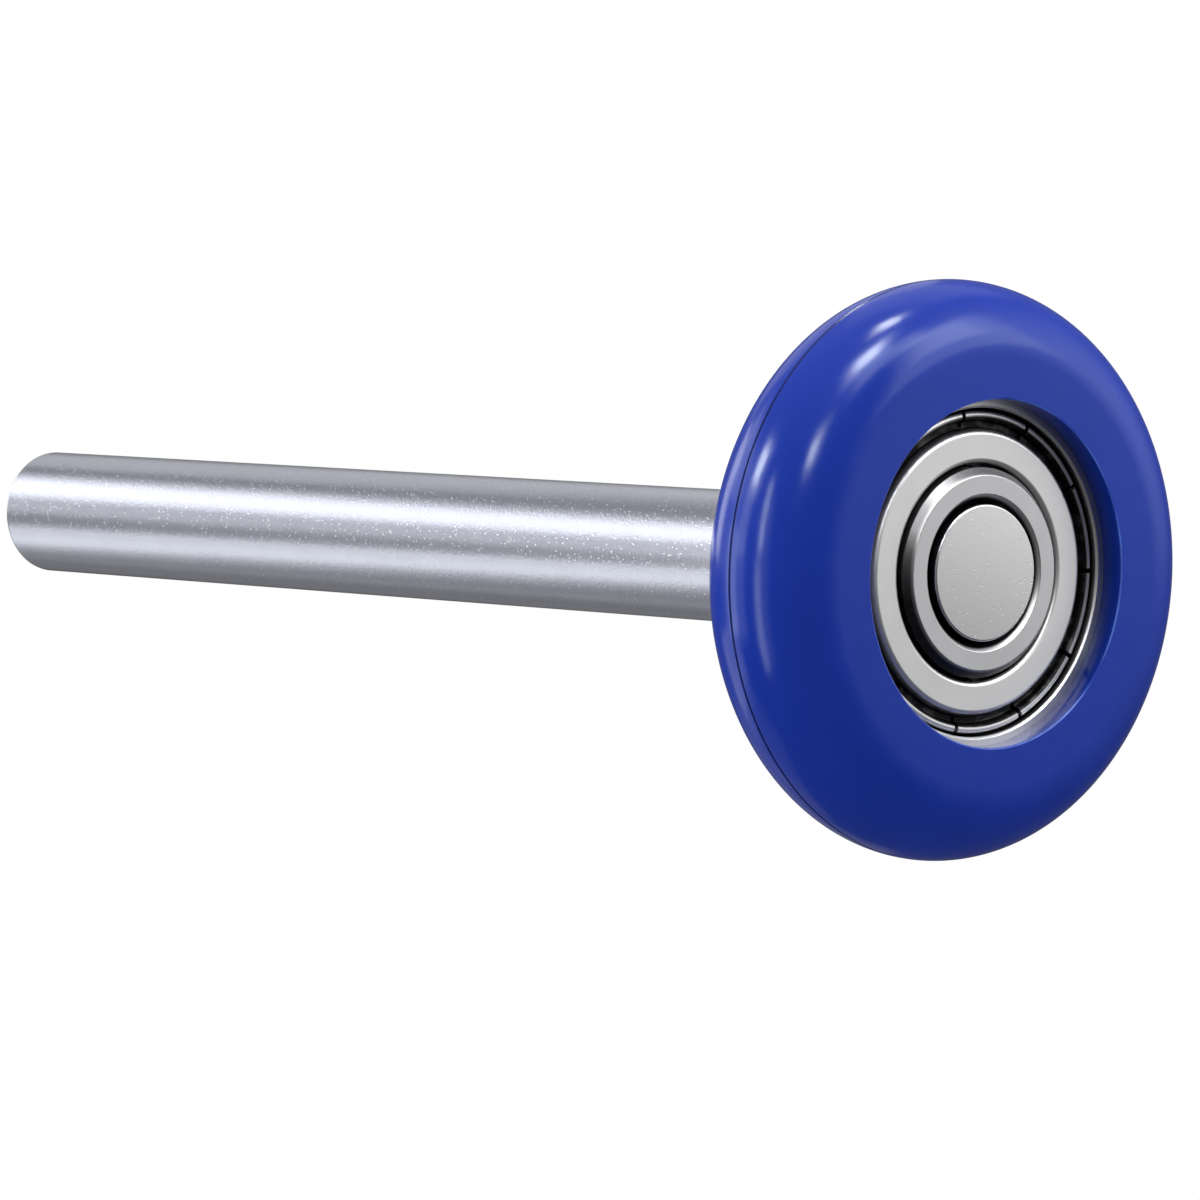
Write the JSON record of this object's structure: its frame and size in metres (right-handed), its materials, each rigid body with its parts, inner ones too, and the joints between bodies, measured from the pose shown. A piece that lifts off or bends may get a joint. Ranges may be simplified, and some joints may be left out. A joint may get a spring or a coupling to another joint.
{
  "type": "garage door roller",
  "caption": "Plastic track wheel moulded over a shielded ball bearing on a plain steel stem, for a sectional garage door.",
  "frame": {"origin": "centre of the wheel and of its bearing, on the stem's axis", "axes": "+Y along the stem from the wheel to the far end; the wheel's open face looks along -Y"},
  "size_m": [0.0468, 0.1258, 0.0468],
  "materials": {
    "stem_steel": "satin, zinc plated",
    "ring_steel": "ground",
    "ball_steel": "polished",
    "cage_steel": "pressed",
    "shield_steel": "satin, pressed",
    "tyre_plastic": "glossy, moulded"
  },
  "bodies": {
    "stem": {"stem": "stem_steel", "inner_ring": "ring_steel"},
    "wheel": {"outer_ring": "ring_steel", "front_shield": "shield_steel", "rear_shield": "shield_steel", "tyre": "tyre_plastic"},
    "cage": {"cage_front": "cage_steel", "cage_rear": "cage_steel", "cage_rivets": "cage_steel"},
    "ball_1": {"ball_1": "ball_steel"},
    "ball_2": {"ball_2": "ball_steel"},
    "ball_3": {"ball_3": "ball_steel"},
    "ball_4": {"ball_4": "ball_steel"},
    "ball_5": {"ball_5": "ball_steel"},
    "ball_6": {"ball_6": "ball_steel"},
    "ball_7": {"ball_7": "ball_steel"},
    "ball_8": {"ball_8": "ball_steel"}
  },
  "joints": [
    {"name": "wheel_spin", "type": "hinge", "parent": "stem", "child": "wheel", "pos_m": [0, 0, 0], "axis": [0, 1, 0], "continuous": true},
    {"name": "cage_spin", "type": "hinge", "parent": "stem", "child": "cage", "pos_m": [0, 0, 0], "axis": [0, 1, 0], "continuous": true},
    {"name": "ball_1_spin", "type": "hinge", "parent": "cage", "child": "ball_1", "pos_m": [0.01, 0, 0], "axis": [0, 1, 0], "continuous": true},
    {"name": "ball_2_spin", "type": "hinge", "parent": "cage", "child": "ball_2", "pos_m": [0.00707, 0, -0.00707], "axis": [0, 1, 0], "continuous": true},
    {"name": "ball_3_spin", "type": "hinge", "parent": "cage", "child": "ball_3", "pos_m": [0, 0, -0.01], "axis": [0, 1, 0], "continuous": true},
    {"name": "ball_4_spin", "type": "hinge", "parent": "cage", "child": "ball_4", "pos_m": [-0.00707, 0, -0.00707], "axis": [0, 1, 0], "continuous": true},
    {"name": "ball_5_spin", "type": "hinge", "parent": "cage", "child": "ball_5", "pos_m": [-0.01, 0, 0], "axis": [0, 1, 0], "continuous": true},
    {"name": "ball_6_spin", "type": "hinge", "parent": "cage", "child": "ball_6", "pos_m": [-0.00707, 0, 0.00707], "axis": [0, 1, 0], "continuous": true},
    {"name": "ball_7_spin", "type": "hinge", "parent": "cage", "child": "ball_7", "pos_m": [0, 0, 0.01], "axis": [0, 1, 0], "continuous": true},
    {"name": "ball_8_spin", "type": "hinge", "parent": "cage", "child": "ball_8", "pos_m": [0.00707, 0, 0.00707], "axis": [0, 1, 0], "continuous": true}
  ],
  "couplings": [
    {"joint": "cage_spin", "follows": "wheel_spin", "ratio": 0.61905},
    {"joint": "ball_1_spin", "follows": "wheel_spin", "ratio": 1.9809},
    {"joint": "ball_2_spin", "follows": "wheel_spin", "ratio": 1.9809},
    {"joint": "ball_3_spin", "follows": "wheel_spin", "ratio": 1.9809},
    {"joint": "ball_4_spin", "follows": "wheel_spin", "ratio": 1.9809},
    {"joint": "ball_5_spin", "follows": "wheel_spin", "ratio": 1.9809},
    {"joint": "ball_6_spin", "follows": "wheel_spin", "ratio": 1.9809},
    {"joint": "ball_7_spin", "follows": "wheel_spin", "ratio": 1.9809},
    {"joint": "ball_8_spin", "follows": "wheel_spin", "ratio": 1.9809}
  ]
}
